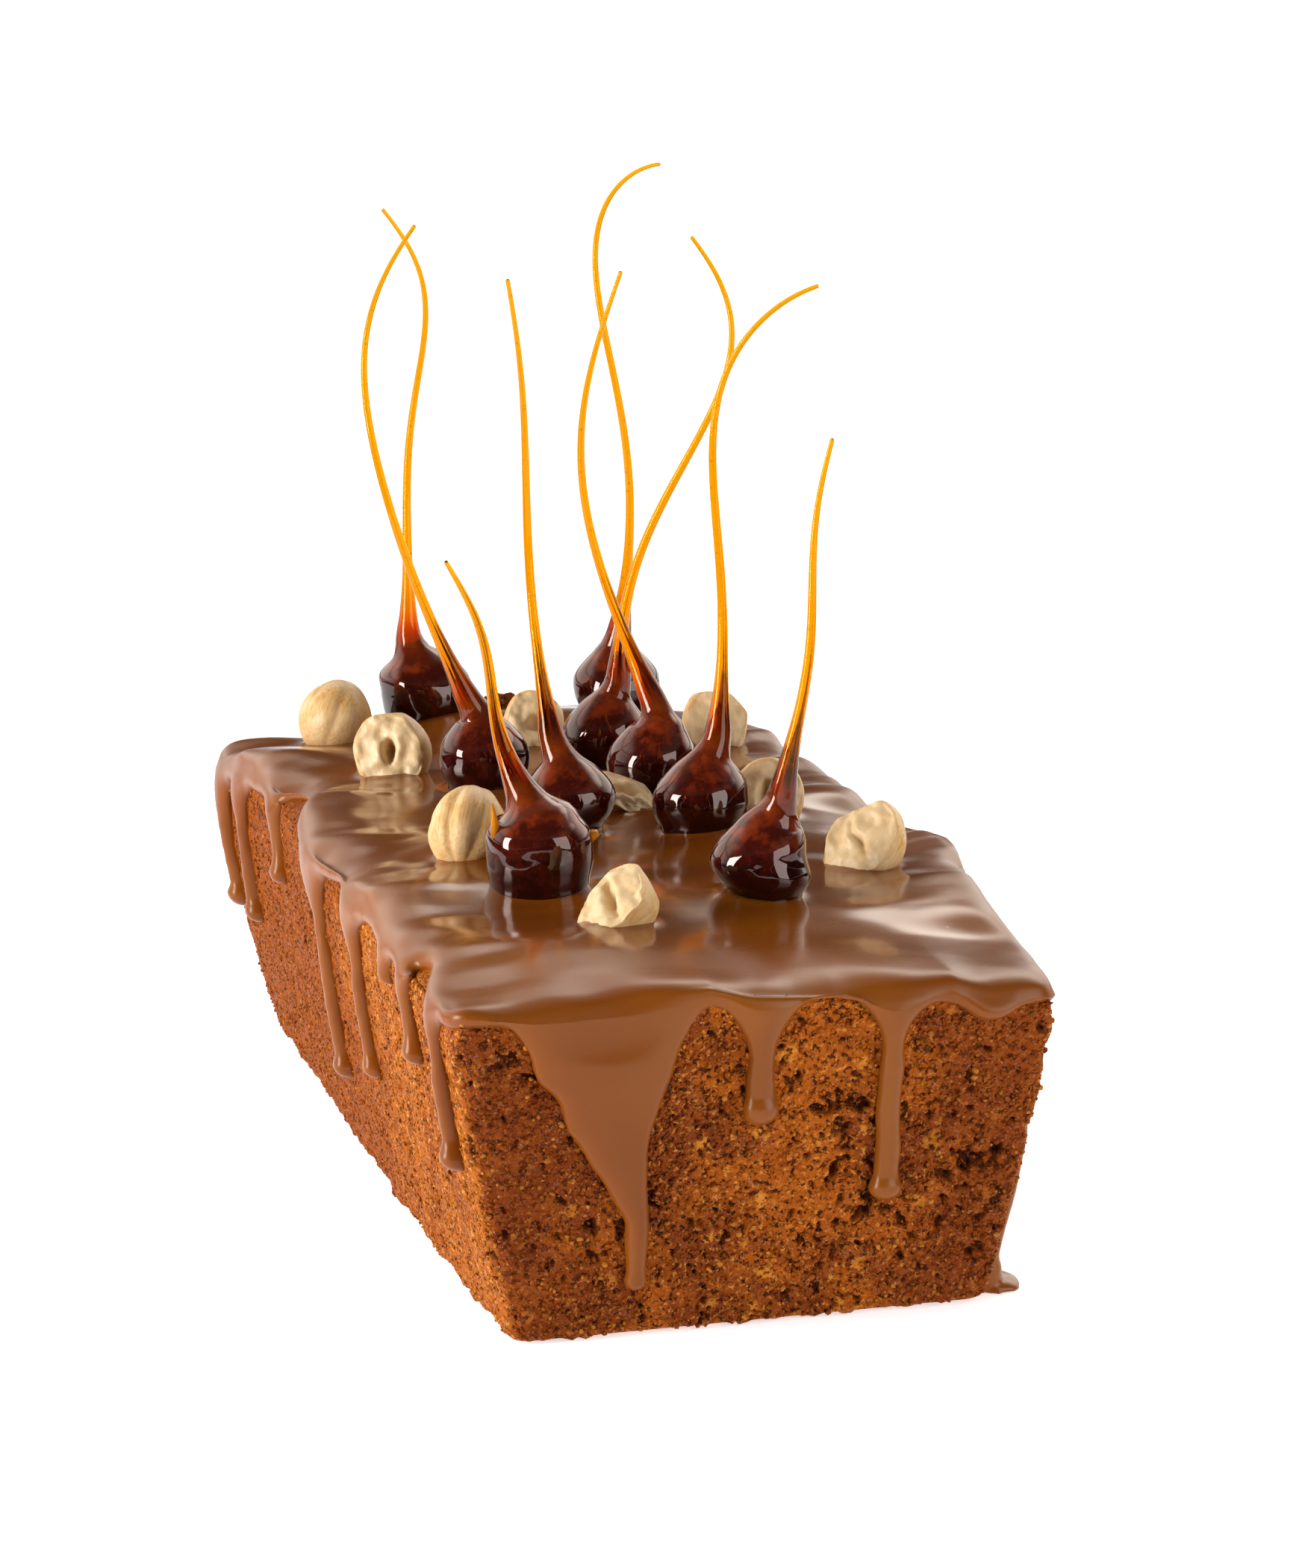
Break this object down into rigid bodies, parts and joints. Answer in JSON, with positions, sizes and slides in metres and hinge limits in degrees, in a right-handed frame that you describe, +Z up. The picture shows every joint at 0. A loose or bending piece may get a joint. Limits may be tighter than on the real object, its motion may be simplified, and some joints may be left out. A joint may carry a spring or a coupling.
{
  "type": "caramel nut loaf cake",
  "caption": "Long tapered loaf cake with poured caramel icing dripping down its sides, plain hazelnuts and caramel-dipped hazelnuts drawn up into tall thin strands.",
  "frame": {"origin": "middle of the loaf's flat base", "axes": "+Z up, +Y along the loaf's length away from the cut near face, +X across it to the right"},
  "size_m": [0.1085, 0.2435, 0.1661],
  "materials": {
    "crumb": "open baked crumb, matte",
    "icing": "set caramel icing, glossy",
    "caramel": "hard clear caramel, high gloss",
    "hazelnut": "blanched nut, satin"
  },
  "bodies": {
    "root": {"cake": "crumb", "icing": "icing", "caramel_1": "caramel", "caramel_2": "caramel", "caramel_3": "caramel", "caramel_4": "caramel", "caramel_5": "caramel", "caramel_6": "caramel", "caramel_7": "caramel", "caramel_8": "caramel", "caramel_9": "caramel", "hazelnut_1": "hazelnut", "hazelnut_2": "hazelnut", "hazelnut_3": "hazelnut", "hazelnut_4": "hazelnut", "hazelnut_5": "hazelnut", "hazelnut_6": "hazelnut", "hazelnut_7": "hazelnut", "hazelnut_8": "hazelnut", "hazelnut_9": "hazelnut"}
  },
  "joints": []
}
